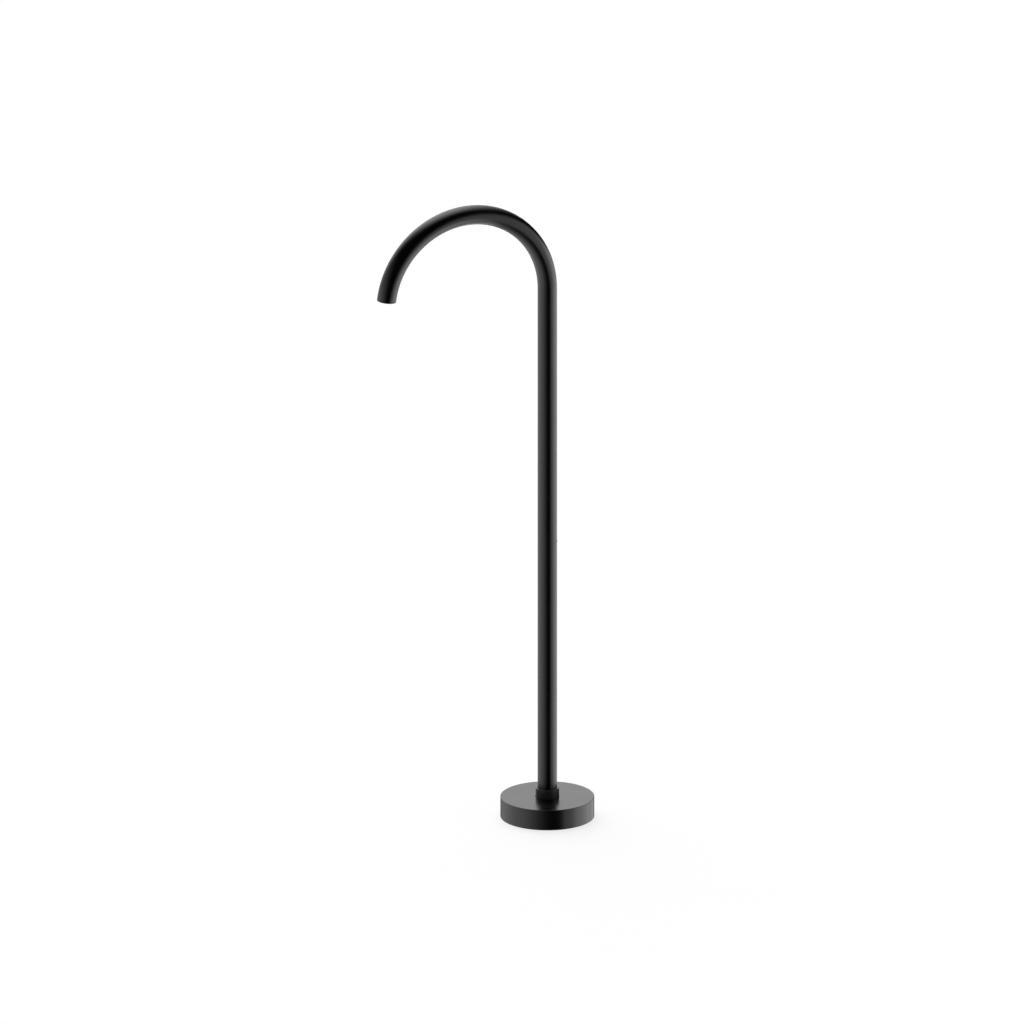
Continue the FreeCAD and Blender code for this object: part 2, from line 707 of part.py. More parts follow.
def make_base_cover():
    """Thin round cover that stands on the floor, with a hub that slides on the collar."""
    body = new_body("base_cover")
    bore = "collar_od / 2 + cover_bore_clearance"
    groove_half = "(grip_ring_section / 2 + grip_groove_margin)"
    hub_bottom = f"{COVER_UNDERSIDE} - hub_depth"
    turn_outline(body, [
        ("cover_od / 2 - cover_wall", "0"),
        ("cover_od / 2", "0"),
        ("cover_od / 2", "cover_height"),
        (bore, "cover_height"),
        (bore, f"{GRIP_RING_HEIGHT} + {groove_half}"),
        (GRIP_GROOVE_RADIUS, f"{GRIP_RING_HEIGHT} + {groove_half}"),
        (GRIP_GROOVE_RADIUS, f"{GRIP_RING_HEIGHT} - {groove_half}"),
        (bore, f"{GRIP_RING_HEIGHT} - {groove_half}"),
        (bore, hub_bottom),
        (f"{bore} + hub_wall", hub_bottom),
        (f"{bore} + hub_wall", COVER_UNDERSIDE),
        ("cover_od / 2 - cover_wall", COVER_UNDERSIDE),
    ])
    top_centre = FreeCAD.Vector(0, 0, number("cover_height"))
    round_rim(body, "cover_od", top_centre, "cover_edge_round")


def make_cover_grip_ring():
    """O-ring in the cover's hub that grips the collar."""
    body = new_body("cover_grip_ring", GRIP_RING_HEIGHT)
    turn_round_ring(body, f"{GRIP_GROOVE_RADIUS} - grip_ring_section / 2", "grip_ring_section")


def make_outlet_bush():
    """Threaded bush brazed in the outlet's end by its rim. Deeper in, it is slimmer by as much as the
    tube bends away over its length."""
    body = new_outlet_body("outlet_bush", "bush_recess + bush_length")
    ledge = "bush_length - outlet_thread_depth"
    slim_radius = f"({TUBE_BORE}) / 2 - (bush_recess + bush_length)^2 / (2 * bend_radius)"
    rim_radius = f"({TUBE_BORE}) / 2 - (bush_recess + bush_rim)^2 / (2 * bend_radius)"
    turn_outline(body, [
        ("bush_waterway / 2", "0"),
        (slim_radius, "0"),
        (slim_radius, "bush_length - bush_rim"),
        (rim_radius, "bush_length - bush_rim"),
        (rim_radius, "bush_length"),
        ("outlet_thread_od / 2", "bush_length"),
        ("outlet_thread_od / 2", ledge),
        ("bush_waterway / 2", ledge),
    ])


def make_aerator_washer():
    """Flat seal between the bush's ledge and the aerator."""
    body = new_outlet_body("aerator_washer", "bush_recess + outlet_thread_depth")
    thickness = "outlet_thread_depth - aerator_length"
    outside = "outlet_thread_od / 2 - washer_margin"
    turn_outline(body, [
        (f"{outside} - washer_width", "0"),
        (outside, "0"),
        (outside, thickness),
        (f"{outside} - washer_width", thickness),
    ])


def make_aerator_housing():
    """Threaded shell that screws into the bush, with key slots in its rim and a seat inside."""
    body = new_outlet_body("aerator_housing", "bush_recess + aerator_length")
    seat = "(insert_length + screen_thickness)"
    turn_outline(body, [
        ("insert_od / 2 + insert_margin", "0"),
        ("outlet_thread_od / 2 - aerator_clearance", "0"),
        ("outlet_thread_od / 2 - aerator_clearance", "aerator_length"),
        ("insert_od / 2 - insert_seat_width", "aerator_length"),
        ("insert_od / 2 - insert_seat_width", seat),
        ("insert_od / 2 + insert_margin", seat),
    ])
    slot = new_sketch(body, "aerator_key_slot", "XY_Plane", out="aerator_length")
    draw_outline(slot, [("0", "0"), ("outlet_thread_od", "0"), ("outlet_thread_od", "aerator_key_width"),
                        ("0", "aerator_key_width")])
    repeat(body, [cut(body, slot, depth="aerator_key_depth", upwards=False)], "aerator_key_count")


def make_aerator_insert():
    """Diffuser: a thick plate full of holes that rests on the housing's seat."""
    body = new_outlet_body("aerator_insert", "bush_recess + aerator_length - screen_thickness")
    turn_outline(body, [
        ("0", "0"),
        ("insert_od / 2", "0"),
        ("insert_od / 2", "insert_length"),
        ("0", "insert_length"),
    ])
    perforate(body, "insert_hole_od", "insert_hole_pitch", rings=2)


def make_aerator_screen():
    """Thin cone of mesh over the diffuser, with a flat rim."""
    body = new_outlet_body("aerator_screen", "bush_recess + aerator_length + screen_rise")
    rim = "insert_od / 2 - screen_margin"
    turn_outline(body, [
        ("0", "0"),
        (f"{rim} - screen_rim", "screen_rise"),
        (rim, "screen_rise"),
        (rim, "screen_rise + screen_thickness"),
        (f"{rim} - screen_rim", "screen_rise + screen_thickness"),
        ("0", "screen_thickness"),
    ])


make_spout_tube()
make_riser_plug()
make_floor_gasket()
make_floor_flange()
make_levelling_screws()
make_floor_socket()
make_inlet_strainer()
make_socket_screws()
make_spout_spigot()
make_spigot_o_rings()
make_slip_rings()
make_split_ring()
make_swivel_collar()
make_collar_wiper_ring()
make_collar_lock_screw()
make_base_cover()
make_cover_grip_ring()
make_outlet_bush()
make_aerator_washer()
make_aerator_housing()
make_aerator_insert()
make_aerator_screen()
document.recompute()

for thing in document.Objects:
    if "Invalid" in thing.State or "Error" in thing.State:
        raise ValueError(f"{thing.Label} failed: {thing.State}")
for body in sub_parts:
    if body.Shape.isNull() or not body.Shape.isValid():
        raise ValueError(f"{body.Label} has no valid shape")

os.makedirs("parts", exist_ok=True)
for body in sub_parts:
    body.Shape.exportStep(f"parts/{body.Label}.step")
    box = body.Shape.optimalBoundingBox()
    print(f"{body.Label:22s} solids {len(body.Shape.Solids)}  volume {body.Shape.Volume:10.1f}  "
          f"x {box.XMin:8.2f} {box.XMax:8.2f}  y {box.YMin:7.2f} {box.YMax:7.2f}  "
          f"z {box.ZMin:8.2f} {box.ZMax:8.2f}")
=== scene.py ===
# %% [markdown]
# # A floor standing bath filler in satin black
# One bent tube rises from a round cover on the floor, bends over and ends in a downward outlet beside
# the bath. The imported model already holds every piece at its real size. This lesson gives those pieces
# their finish, models the ones that deserve a finer shape, and sets up a studio round them.
# Each step starts with a note on the real piece, so the file can be read from top to bottom.

import json
import math

import bmesh
import bpy
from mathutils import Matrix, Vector


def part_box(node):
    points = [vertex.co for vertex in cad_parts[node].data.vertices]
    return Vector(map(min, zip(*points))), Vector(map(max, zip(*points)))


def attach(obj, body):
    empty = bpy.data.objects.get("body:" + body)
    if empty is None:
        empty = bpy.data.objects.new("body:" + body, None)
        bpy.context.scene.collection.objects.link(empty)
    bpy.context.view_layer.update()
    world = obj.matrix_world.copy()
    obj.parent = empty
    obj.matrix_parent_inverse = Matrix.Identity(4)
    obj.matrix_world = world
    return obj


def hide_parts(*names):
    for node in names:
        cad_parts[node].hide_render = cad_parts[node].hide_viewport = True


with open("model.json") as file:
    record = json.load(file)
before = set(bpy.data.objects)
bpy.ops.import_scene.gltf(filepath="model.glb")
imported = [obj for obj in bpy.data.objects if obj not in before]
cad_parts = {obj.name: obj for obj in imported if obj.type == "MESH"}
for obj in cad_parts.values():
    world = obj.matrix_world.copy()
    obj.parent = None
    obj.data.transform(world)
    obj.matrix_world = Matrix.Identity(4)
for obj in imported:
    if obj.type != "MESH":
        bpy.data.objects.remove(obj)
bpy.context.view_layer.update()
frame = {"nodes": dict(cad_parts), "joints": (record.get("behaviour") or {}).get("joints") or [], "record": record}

# %% [markdown]
# ## The camera
# The photograph has no vanishing point: the riser is as wide at its foot as at its top, and the cover's
# far edge is as curved as its near one. Such a picture is drawn by parallel rays, so the camera is
# orthographic. It looks down on the piece by less than 20 degrees, and its scale is the width of the
# world that the picture shows.

# %% Place the camera
MM = 0.001
CAMERA_AZIMUTH = math.radians(-25.07)
CAMERA_ELEVATION = math.radians(18.26)
CAMERA_DISTANCE = 12.0
CLIP_NEAR, CLIP_FAR = 0.5, 100.0
PICTURE_WIDTH = 1.68905
AIM_RIGHT, AIM_UP = -0.05827, 0.50094


def direction(azimuth, elevation):
    """A direction as seen from the piece: azimuth 0 is towards -Y and grows towards +X."""
    flat = Vector((math.sin(azimuth), -math.cos(azimuth), 0)) * math.cos(elevation)
    return flat + Vector((0, 0, math.sin(elevation)))


to_camera = direction(CAMERA_AZIMUTH, CAMERA_ELEVATION)
picture_right = direction(CAMERA_AZIMUTH + math.pi / 2, 0)
picture_up = to_camera.cross(picture_right)
aim = picture_right * AIM_RIGHT + picture_up * AIM_UP
bpy.ops.object.camera_add(location=aim + to_camera * CAMERA_DISTANCE,
                          rotation=to_camera.to_track_quat("Z", "Y").to_euler())
camera = bpy.context.object
camera.name = "camera"
camera.data.type = "ORTHO"
camera.data.ortho_scale = PICTURE_WIDTH
camera.data.clip_start, camera.data.clip_end = CLIP_NEAR, CLIP_FAR
bpy.context.scene.camera = camera
print("picture width:", PICTURE_WIDTH, "m")

# %% [markdown]
# ## The studio
# A satin black piece has almost no colour of its own: what is seen on it is its surroundings, mirrored
# softly. In the photograph a dark stripe runs down the front of the tube and both flanks are grey, so the
# room is dark behind the camera and pale on both sides. A large soft panel hangs behind and above the
# piece, because the flat top of the cover mirrors it. The panels are round patches of light in the
# world, each with a direction, a size and a soft edge.

# %% A node group for one soft panel of light
def new_group(name, inputs, outputs):
    """An empty shader node group with its sockets, and the nodes that hold them."""
    group = bpy.data.node_groups.new(name, "ShaderNodeTree")
    for socket_name, kind, default in inputs:
        socket = group.interface.new_socket(socket_name, in_out="INPUT", socket_type=kind)
        socket.default_value = default
    for socket_name, kind in outputs:
        group.interface.new_socket(socket_name, in_out="OUTPUT", socket_type=kind)
    return group, group.nodes.new("NodeGroupInput"), group.nodes.new("NodeGroupOutput")


def add_node(tree, kind, links=(), **settings):
    """A node with its settings, and with what feeds its inputs, given as (input, socket or value)."""
    node = tree.nodes.new(kind)
    for key, value in settings.items():
        setattr(node, key, value)
    for key, source in links:
        if isinstance(source, bpy.types.NodeSocket):
            tree.links.new(source, node.inputs[key])
        else:
            node.inputs[key].default_value = source
    return node


def add_math(tree, operation, first, second=0.0, third=0.0):
    """The result of one Math node."""
    links = [(0, first), (1, second), (2, third)]
    return add_node(tree, "ShaderNodeMath", links, operation=operation).outputs[0]


VECTOR, FLOAT = "NodeSocketVector", "NodeSocketFloat"
panel_group, given, result = new_group(
    "soft_panel",
    [("Direction", VECTOR, (0, 0, 1)), ("Towards", VECTOR, (0, 0, 1)), ("Full inside", FLOAT, 0.3),
     ("Dark outside", FLOAT, 0.8), ("Strength", FLOAT, 1.0)],
    [("Light", FLOAT)])
facing = add_node(panel_group, "ShaderNodeVectorMath",
                  [(0, given.outputs["Direction"]), (1, given.outputs["Towards"])],
                  operation="DOT_PRODUCT")
angle = add_math(panel_group, "ARCCOSINE", facing.outputs["Value"])
patch = add_node(panel_group, "ShaderNodeMapRange",
                 [("Value", angle), ("From Min", given.outputs["Full inside"]),
                  ("From Max", given.outputs["Dark outside"]), ("To Min", 1.0), ("To Max", 0.0)],
                 interpolation_type="SMOOTHSTEP")
light = add_math(panel_group, "MULTIPLY", patch.outputs[0], given.outputs["Strength"])
panel_group.links.new(light, result.inputs["Light"])
print("soft_panel has", len(panel_group.nodes), "nodes")

# %% Hang the panels in the world
# Name, then in degrees the azimuth from the camera towards the picture's right, the elevation, the radius
# and half the width of the soft edge, and last the strength.
PANELS = [
    ("behind", 201.6, 37.7, 31.7, 27.5, 2.95),
    ("overhead", 174.3, 76.2, 23.5, 23.5, 2.6),
    ("right, level with the piece", 83.3, -17.0, 41.4, 5.2, 1.22),
    ("right, far side and low", 113.6, -40.4, 43.5, 4.3, 1.6),
    ("left and low", -88.6, -38.8, 50.8, 33.2, 1.7),
]
world = bpy.data.worlds.new("studio")
world.use_nodes = True
world_tree = world.node_tree
world_tree.nodes.clear()
seen_direction = add_node(world_tree, "ShaderNodeTexCoord").outputs["Generated"]
brightness = 0.0
for panel_name, azimuth, elevation, radius, soft_edge, strength in PANELS:
    panel = add_node(world_tree, "ShaderNodeGroup", node_tree=panel_group)
    panel.label = panel_name
    world_tree.links.new(seen_direction, panel.inputs["Direction"])
    panel.inputs["Towards"].default_value = direction(CAMERA_AZIMUTH + math.radians(azimuth),
                                                      math.radians(elevation))
    panel.inputs["Full inside"].default_value = math.radians(radius - soft_edge)
    panel.inputs["Dark outside"].default_value = math.radians(radius + soft_edge)
    panel.inputs["Strength"].default_value = strength
    brightness = add_math(world_tree, "ADD", brightness, panel.outputs["Light"])
background = add_node(world_tree, "ShaderNodeBackground", [("Strength", brightness)])
world_out = add_node(world_tree, "ShaderNodeOutputWorld")
world_tree.links.new(background.outputs[0], world_out.inputs["Surface"])
bpy.context.scene.world = world
bpy.context.scene.view_settings.view_transform = "Standard"
print("panels:", ", ".join(p[0] for p in PANELS))

# %% [markdown]
# ## Floor and backdrop
# The floor is a wide pale disc that glows a little, so that it shows white with only a faint shadow
# where the cover stands. The photographed tube mirrors no floor: its dark stripe runs unbroken down to
# its foot. So the floor is left out of glossy reflections, and the world's panels, which go on below the
# horizon, stand in for it there. A white wall far behind the floor is only for the camera.

# %% Lay the floor and put up the backdrop
FLOOR_RADIUS = 33.0
FLOOR_SIDES = 128
FLOOR_TONE_LOW, FLOOR_TONE_HIGH = 0.29, 0.31
FLOOR_GLOW, BACKDROP_GLOW = 0.75, 1.0
MOTTLING_SCALE, MOTTLING_DETAIL = 3.0, 4.0
BACKDROP_HEIGHT = 16.0


def new_material(name):
    """A material with an empty node tree and its output node."""
    material = bpy.data.materials.new(name)
    material.use_nodes = True
    material.node_tree.nodes.clear()
    return material, material.node_tree, material.node_tree.nodes.new("ShaderNodeOutputMaterial")


floor_finish, tree, surface_out = new_material("pale_floor")
mottling = add_node(tree, "ShaderNodeTexNoise",
                    [("Vector", add_node(tree, "ShaderNodeTexCoord").outputs["Object"]),
                     ("Scale", MOTTLING_SCALE), ("Detail", MOTTLING_DETAIL)])
floor_tone = add_node(tree, "ShaderNodeMapRange",
                      [("Value", mottling.outputs["Fac"]), ("To Min", FLOOR_TONE_LOW),
                       ("To Max", FLOOR_TONE_HIGH)])
matt = add_node(tree, "ShaderNodeBsdfDiffuse", [("Color", floor_tone.outputs[0])])
glow = add_node(tree, "ShaderNodeEmission", [("Strength", FLOOR_GLOW)])
both = add_node(tree, "ShaderNodeAddShader", [(0, matt.outputs[0]), (1, glow.outputs[0])])
tree.links.new(both.outputs[0], surface_out.inputs["Surface"])

backdrop_finish, tree, surface_out = new_material("white_backdrop")
glow = add_node(tree, "ShaderNodeEmission", [("Strength", BACKDROP_GLOW)])
tree.links.new(glow.outputs[0], surface_out.inputs["Surface"])

bpy.ops.object.select_all(action="DESELECT")
bpy.ops.mesh.primitive_circle_add(vertices=FLOOR_SIDES, radius=FLOOR_RADIUS, fill_type="NGON")
floor = bpy.context.object
floor.name = "floor"
floor.data.materials.append(floor_finish)
floor.visible_glossy = floor.visible_shadow = False

bpy.ops.mesh.primitive_circle_add(vertices=FLOOR_SIDES, radius=FLOOR_RADIUS,
                                  location=(0, 0, -BACKDROP_HEIGHT / 2))
backdrop = bpy.context.object
backdrop.name = "backdrop"
bpy.ops.object.mode_set(mode="EDIT")
bpy.ops.mesh.extrude_region_move(TRANSFORM_OT_translate={"value": (0, 0, BACKDROP_HEIGHT)})
bpy.ops.object.mode_set(mode="OBJECT")
backdrop.data.materials.append(backdrop_finish)
backdrop.visible_diffuse = backdrop.visible_glossy = False
backdrop.visible_transmission = backdrop.visible_shadow = False
print("floor:", round(2 * FLOOR_RADIUS, 1), "m across")

# %% [markdown]
# ## Effects that several finishes share
# Two small node groups are built once and placed in each finish with its own values. `grain` is the fine
# unevenness of a sprayed or moulded surface, with a wider cloudiness. `lathe_rings` are the fine grooves
# that a turning tool leaves round a piece's axis.

# %% Group: grain
grain_group, given, result = new_group(
    "grain",
    [("Position", VECTOR, (0, 0, 0)), ("Grain size", FLOAT, 0.0005), ("Cloud size", FLOAT, 0.02)],
    [("Height", FLOAT), ("Cloud", FLOAT)])


def add_noise(tree, position, feature_size, detail=2.0):
    """Noise whose lumps are about one feature size wide."""
    scale = add_math(tree, "DIVIDE", 1.0, feature_size)
    return add_node(tree, "ShaderNodeTexNoise",
                    [("Vector", position), ("Scale", scale), ("Detail", detail)]).outputs["Fac"]


fine = add_noise(grain_group, given.outputs["Position"], given.outputs["Grain size"])
cloud = add_noise(grain_group, given.outputs["Position"], given.outputs["Cloud size"], detail=3.0)
grain_group.links.new(fine, result.inputs["Height"])
grain_group.links.new(cloud, result.inputs["Cloud"])
print("grain has", len(grain_group.nodes), "nodes")

# %% Group: lathe rings
STREAKS_PER_RING, STREAK_DETAIL = 0.37, 3.0
lathe_group, given, result = new_group(
    "lathe_rings",
    [("Position", VECTOR, (0, 0, 0)), ("Pitch", FLOAT, 0.0003)],
    [("Height", FLOAT), ("Streak", FLOAT)])
parts = add_node(lathe_group, "ShaderNodeSeparateXYZ", [(0, given.outputs["Position"])])
across = add_node(lathe_group, "ShaderNodeCombineXYZ", [(0, parts.outputs[0]), (1, parts.outputs[1])])
radius = add_node(lathe_group, "ShaderNodeVectorMath", [(0, across.outputs[0])], operation="LENGTH")
travel = add_math(lathe_group, "ADD", radius.outputs["Value"], parts.outputs[2])
turns = add_math(lathe_group, "DIVIDE", travel, given.outputs["Pitch"])
ring_line = add_node(lathe_group, "ShaderNodeCombineXYZ", [(0, turns)])
streak = add_node(lathe_group, "ShaderNodeTexNoise",
                  [("Vector", ring_line.outputs[0]), ("Scale", STREAKS_PER_RING),
                   ("Detail", STREAK_DETAIL)])
wave = add_math(lathe_group, "SINE", add_math(lathe_group, "MULTIPLY", turns, 2 * math.pi))
lathe_group.links.new(add_math(lathe_group, "ADD", wave, streak.outputs["Fac"]), result.inputs["Height"])
lathe_group.links.new(streak.outputs["Fac"], result.inputs["Streak"])
print("groups:", [g.name for g in bpy.data.node_groups])

# %% [markdown]
# ## Finishes
# Every finish is one function that fills a Principled shader. Numbers that are the same all over the
# surface are set on the shader's own sockets. What varies over the surface comes from the groups.

# %% Helpers for the finishes
NOISE_LOW, NOISE_HIGH = 0.3, 0.7
FIRST_COLOUR, SECOND_COLOUR, MIXED_COLOUR = 6, 7, 2


def start_finish(name):
    """A material with a Principled shader, and the position on the piece."""
    material, tree, surface_out = new_material(name)
    shader = add_node(tree, "ShaderNodeBsdfPrincipled")
    tree.links.new(shader.outputs[0], surface_out.inputs["Surface"])
    position = add_node(tree, "ShaderNodeTexCoord").outputs["Object"]
    return material, tree, shader, position


def vary(tree, factor, low, high):
    """A number that follows a noise, over the range that the noise really has, from low to high."""
    links = [("Value", factor), ("From Min", NOISE_LOW), ("From Max", NOISE_HIGH), ("To Min", low),
             ("To Max", high)]
    return add_node(tree, "ShaderNodeMapRange", links).outputs[0]


def vary_colour(tree, factor, low, high):
    """A colour that follows a 0 to 1 factor between two colours. A Mix node's colour sockets share their
    names with its other sockets, so they are found by number."""
    mix = add_node(tree, "ShaderNodeMix", [(0, factor)], data_type="RGBA")
    mix.inputs[FIRST_COLOUR].default_value = (*low, 1)
    mix.inputs[SECOND_COLOUR].default_value = (*high, 1)
    return mix.outputs[MIXED_COLOUR]


def add_bump(tree, shader, height, depth):
    """Tilts the shader's normal by a height, given in metres from its lowest to its highest."""
    bump = add_node(tree, "ShaderNodeBump", [("Height", height), ("Distance", depth), ("Strength", 1.0)])
    tree.links.new(bump.outputs[0], shader.inputs["Normal"])


def make_grained(name, dark, bright, smooth, rough, grain_size, cloud_size, depth):
    """A surface with fine grain, whose colour and roughness follow a wider cloudiness."""
    material, tree, shader, position = start_finish(name)
    grain = add_node(tree, "ShaderNodeGroup", node_tree=grain_group)
    tree.links.new(position, grain.inputs["Position"])
    grain.inputs["Grain size"].default_value = grain_size
    grain.inputs["Cloud size"].default_value = cloud_size
    tree.links.new(vary_colour(tree, grain.outputs["Cloud"], dark, bright), shader.inputs["Base Color"])
    tree.links.new(vary(tree, grain.outputs["Cloud"], smooth, rough), shader.inputs["Roughness"])
    add_bump(tree, shader, grain.outputs["Height"], depth)
    return material, shader


# %% Satin black coating
COATING_GRAIN, COATING_CLOUD, COATING_BUMP = 0.35 * MM, 30 * MM, 0.002 * MM
COATING_SMOOTH, COATING_ROUGH, COATING_IOR = 0.23, 0.27, 1.5


def make_black_coating(name, dark, bright):
    """Sprayed satin black: almost no colour of its own and a soft, even sheen."""
    material, shader = make_grained(name, (dark,) * 3, (bright,) * 3, COATING_SMOOTH, COATING_ROUGH,
                                    COATING_GRAIN, COATING_CLOUD, COATING_BUMP)
    shader.inputs["IOR"].default_value = COATING_IOR
    return material


black_coating = make_black_coating("satin_black", dark=0.0006, bright=0.0014)
# The collar's paler black is painted light: it stands in for light mirrored up from the cover's top.
collar_black_painted_light = make_black_coating("satin_black_collar_painted_light", dark=0.032, bright=0.038)
print("finishes:", black_coating.name, collar_black_painted_light.name)

# %% [markdown]
# The other finishes are out of sight until the cover is lifted or the aerator is screwed out: turned
# brass, turned and plain stainless steel, fine steel mesh, black rubber seals and white slip rings.

# %% Metals
LATHE_ROUGHER, LATHE_SMOOTHER = 0.05, 0.04
STEEL_SMOOTHER, STEEL_ROUGHER, STEEL_CLOUD = 0.05, 0.06, 12


def make_turned_metal(name, dark, bright, roughness, pitch, depth, axis_point=None, axis=None):
    """Bare metal with the fine rings of a lathe round the riser's axis, or round another axis. Its bright
    streaks are a little smoother than its dark ones."""
    material, tree, shader, position = start_finish(name)
    if axis is not None:
        mapping = add_node(tree, "ShaderNodeMapping", [("Vector", position)], vector_type="TEXTURE")
        mapping.inputs["Location"].default_value = axis_point
        mapping.inputs["Rotation"].default_value = axis.to_track_quat("Z", "Y").to_euler()
        position = mapping.outputs[0]
    rings = add_node(tree, "ShaderNodeGroup", node_tree=lathe_group)
    tree.links.new(position, rings.inputs["Position"])
    rings.inputs["Pitch"].default_value = pitch
    tree.links.new(vary_colour(tree, rings.outputs["Streak"], dark, bright), shader.inputs["Base Color"])
    tree.links.new(vary(tree, rings.outputs["Streak"], roughness + LATHE_ROUGHER,
                        roughness - LATHE_SMOOTHER), shader.inputs["Roughness"])
    shader.inputs["Metallic"].default_value = 1.0
    add_bump(tree, shader, rings.outputs["Height"], depth)
    return material


def make_plain_steel(name, dark, bright, roughness, grain_size, depth):
    """Bright drawn or rolled steel with a faint unevenness."""
    material, shader = make_grained(name, dark, bright, roughness - STEEL_SMOOTHER,
                                    roughness + STEEL_ROUGHER, grain_size,
                                    STEEL_CLOUD * grain_size, depth)
    shader.inputs["Metallic"].default_value = 1.0
    return material


joints = {joint["name"]: joint for joint in frame["joints"]}
outlet = Vector(joints["aerator_turn"]["pos_m"])
outlet_axis = Vector(joints["aerator_turn"]["axis"]).normalized()
BRASS = {"dark": (0.60, 0.42, 0.18), "bright": (0.80, 0.63, 0.34), "roughness": 0.24,
         "pitch": 0.3 * MM, "depth": 0.002 * MM}
turned_brass = make_turned_metal("lathe_brass", **BRASS)
outlet_brass = make_turned_metal("outlet_brass", **BRASS, axis_point=outlet, axis=outlet_axis)
flange_steel = make_turned_metal("lathe_steel", dark=(0.48, 0.48, 0.475), bright=(0.64, 0.64, 0.63),
                                 roughness=0.3, pitch=0.45 * MM, depth=0.003 * MM)
screw_steel = make_plain_steel("plain_steel", dark=(0.42, 0.42, 0.42), bright=(0.58, 0.58, 0.58),
                               roughness=0.26, grain_size=0.25 * MM, depth=0.002 * MM)
mesh_steel = make_plain_steel("wire_steel", dark=(0.40, 0.40, 0.39), bright=(0.58, 0.58, 0.57),
                              roughness=0.3, grain_size=0.1 * MM, depth=0.001 * MM)
print("metals:", turned_brass.name, outlet_brass.name, flange_steel.name, screw_steel.name,
      mesh_steel.name)


# %% Rubber, plastic and the aerator's coating
MOULDED_SPREAD, MOULDED_CLOUD = 0.04, 15


def make_moulded(name, dark, bright, roughness, grain_size, depth):
    """A moulded surface with the fine texture of its mould."""
    return make_grained(name, dark, bright, roughness - MOULDED_SPREAD, roughness + MOULDED_SPREAD,
                        grain_size, MOULDED_CLOUD * grain_size, depth)[0]


black_rubber = make_moulded("seal_rubber", dark=(0.014,) * 3, bright=(0.026,) * 3, roughness=0.7,
                            grain_size=0.3 * MM, depth=0.01 * MM)
white_plastic = make_moulded("slip_plastic", dark=(0.76, 0.76, 0.74), bright=(0.83, 0.83, 0.81),
                             roughness=0.42, grain_size=0.25 * MM, depth=0.004 * MM)
aerator_metal = make_black_coating("aerator_black", dark=0.004, bright=0.006)
print("moulded:", black_rubber.name, white_plastic.name, "and sprayed:", aerator_metal.name)

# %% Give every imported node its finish
FINISHES = {"black_coating": black_coating, "turned_brass": turned_brass, "aerator_metal": aerator_metal,
            "flange_steel": flange_steel, "screw_steel": screw_steel, "mesh_steel": mesh_steel,
            "black_rubber": black_rubber, "white_plastic": white_plastic}
slot_of = {part["node"]: part["material_slot"] for part in frame["record"]["subparts"]}
for node, cad_object in frame["nodes"].items():
    for material_slot in cad_object.material_slots:
        material_slot.material = FINISHES[slot_of[node]]
frame["nodes"]["outlet_bush"].material_slots[0].material = outlet_brass
print("finished nodes:", len(frame["nodes"]))

# %% [markdown]
# ## Ways of shaping
# Nearly every piece of this object is round about one axis. So one helper does what a lathe does: it
# starts with a circle, and extrudes and scales it from one corner of the piece's cross-section to the
# next. Corners that are round on the real piece are bevelled afterwards. Holes, slots and threads are
# cut with a tool of the right shape and a Boolean modifier, as a drill, a saw or a die cuts them.

# %% Helpers for edit mode
SAME_POINT = 0.001 * MM


def start_edit(add_primitive, name, **settings):
    """Adds a primitive with nothing else selected, names it, and goes into edit mode on it."""
    bpy.ops.object.select_all(action="DESELECT")
    add_primitive(**settings)
    bpy.ops.object.transform_apply()
    piece = bpy.context.object
    piece.name = piece.data.name = name
    bpy.ops.object.mode_set(mode="EDIT")
    return piece


def make_active(piece):
    """Selects one piece and nothing else."""
    bpy.ops.object.select_all(action="DESELECT")
    piece.select_set(True)
    bpy.context.view_layer.objects.active = piece


def pick_edges(piece, test):
    """In edit mode, selects only the edges whose ends both pass a test."""
    bpy.ops.mesh.select_all(action="DESELECT")
    mesh = bmesh.from_edit_mesh(piece.data)
    for edge in mesh.edges:
        if test(edge.verts[0].co) and test(edge.verts[1].co):
            edge.select = True
    mesh.select_flush_mode()
    bmesh.update_edit_mesh(piece.data)


def close_up(piece):
    """In edit mode, merges doubled points and turns all faces outwards."""
    bpy.ops.mesh.select_all(action="SELECT")
    bpy.ops.mesh.remove_doubles(threshold=SAME_POINT)
    bpy.ops.mesh.normals_make_consistent(inside=False)


# %% Helper that turns a piece on the lathe
ON_AXIS = 0.0002
CORNER_REACH = 0.002 * MM
ROUND_SEGMENTS = 4


def lathe(name, corners, sides):
    """A ring turned about the Z axis. Each corner is (radius, height, edge round), in millimetres, going
    once round the cross-section. A solid piece starts and ends on the axis, at the radius ON_AXIS, which
    closing the piece up then merges to one point."""
    radius, height, _ = corners[0]
    way_back = [] if radius == ON_AXIS else [corners[0]]
    piece = start_edit(bpy.ops.mesh.primitive_circle_add, name, vertices=sides,
                       radius=radius * MM, location=(0, 0, height * MM))
    for next_radius, next_height, _ in [*corners[1:], *way_back]:
        bpy.ops.mesh.extrude_region_move(
            TRANSFORM_OT_translate={"value": (0, 0, (next_height - height) * MM)})
        growth = next_radius / radius
        bpy.ops.transform.resize(value=(growth, growth, 1), center_override=(0, 0, next_height * MM))
        radius, height = next_radius, next_height
    close_up(piece)
    for corner_radius, corner_height, edge_round in corners:
        if edge_round:
            pick_edges(piece, lambda co: abs(co.xy.length - corner_radius * MM) < CORNER_REACH
                       and abs(co.z - corner_height * MM) < CORNER_REACH)
            bpy.ops.mesh.bevel(offset=edge_round * MM, segments=ROUND_SEGMENTS, affect="EDGES")
    bpy.ops.object.mode_set(mode="OBJECT")
    return piece


# %% Helpers that cut a piece
PAST_FACE = 1
HEXAGON = 6


def cut_with(piece, tool):
    """Cuts a tool's shape out of a piece and removes the tool."""
    make_active(piece)
    cut = piece.modifiers.new("cut", "BOOLEAN")
    cut.operation, cut.solver, cut.object = "DIFFERENCE", "EXACT", tool
    bpy.ops.object.modifier_apply(modifier=cut.name)
    bpy.data.objects.remove(tool)


